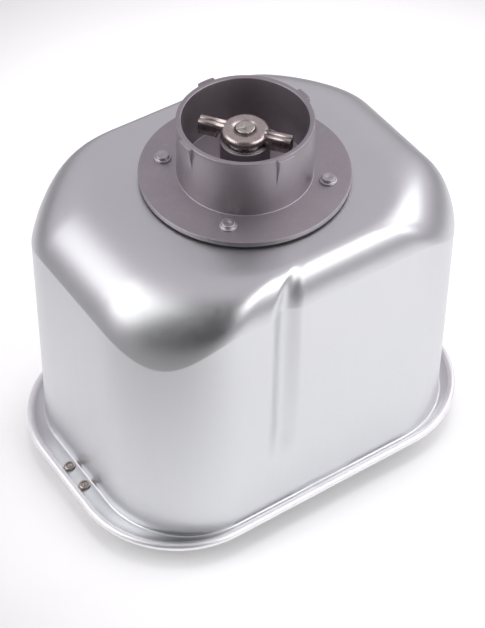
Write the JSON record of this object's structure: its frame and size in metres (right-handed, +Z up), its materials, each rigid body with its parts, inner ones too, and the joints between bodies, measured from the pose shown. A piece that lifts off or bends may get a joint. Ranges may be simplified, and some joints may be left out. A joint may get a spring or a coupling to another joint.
{
  "type": "bread machine pan",
  "caption": "Deep round-cornered baking pan with a rolled rim, a cast drive base with a bayonet skirt, a turning winged coupling and a folding wire handle.",
  "frame": {"origin": "on the drive shaft's axis, on the surface that the upturned pan stands on", "axes": "+Z up along the shaft, from the mouth to the drive base; X along the pan's long side; Y along its short side"},
  "size_m": [0.204, 0.145, 0.1888],
  "materials": {
    "pan_aluminium": "satin, deep drawn",
    "cast_aluminium": "matt, die cast and blasted",
    "gasket_rubber": "matt",
    "rivet_aluminium": "matt, closed heads",
    "sintered_bronze": "porous, oiled",
    "wool_felt": "dense felt, oiled",
    "seal_rubber": "satin silicone",
    "plain_steel": "plain, lightly oiled",
    "stainless_steel": "fine brushed",
    "shaft_steel": "ground",
    "coupling_metal": "nickel plated, polished edges",
    "bracket_steel": "bright pressed",
    "rivet_steel": "plain, slightly tarnished",
    "wire_steel": "drawn and polished"
  },
  "bodies": {
    "pan": {"pan_shell": "pan_aluminium", "drive_base": "cast_aluminium", "base_gasket": "gasket_rubber", "base_rivets": "rivet_aluminium", "lower_bush": "sintered_bronze", "upper_bush": "sintered_bronze", "oil_felt": "wool_felt", "shaft_seal": "seal_rubber", "seal_case": "plain_steel", "seal_spring": "plain_steel", "seal_retainer": "stainless_steel", "handle_bracket_left": "bracket_steel", "handle_bracket_right": "bracket_steel", "bracket_rivets": "rivet_steel"},
    "spindle": {"drive_shaft": "shaft_steel", "shaft_circlip": "plain_steel", "inner_washer": "stainless_steel", "outer_washer": "stainless_steel", "drive_coupling": "coupling_metal"},
    "handle": {"carry_handle": "wire_steel"}
  },
  "joints": [
    {"name": "drive_spin", "type": "hinge", "parent": "pan", "child": "spindle", "pos_m": [0, 0, 0.17], "axis": [0, 0, 1], "continuous": true},
    {"name": "handle_fold", "type": "hinge", "parent": "pan", "child": "handle", "pos_m": [0, 0, 0.0046], "axis": [-1, 0, 0], "range_deg": [-6, 181]}
  ]
}
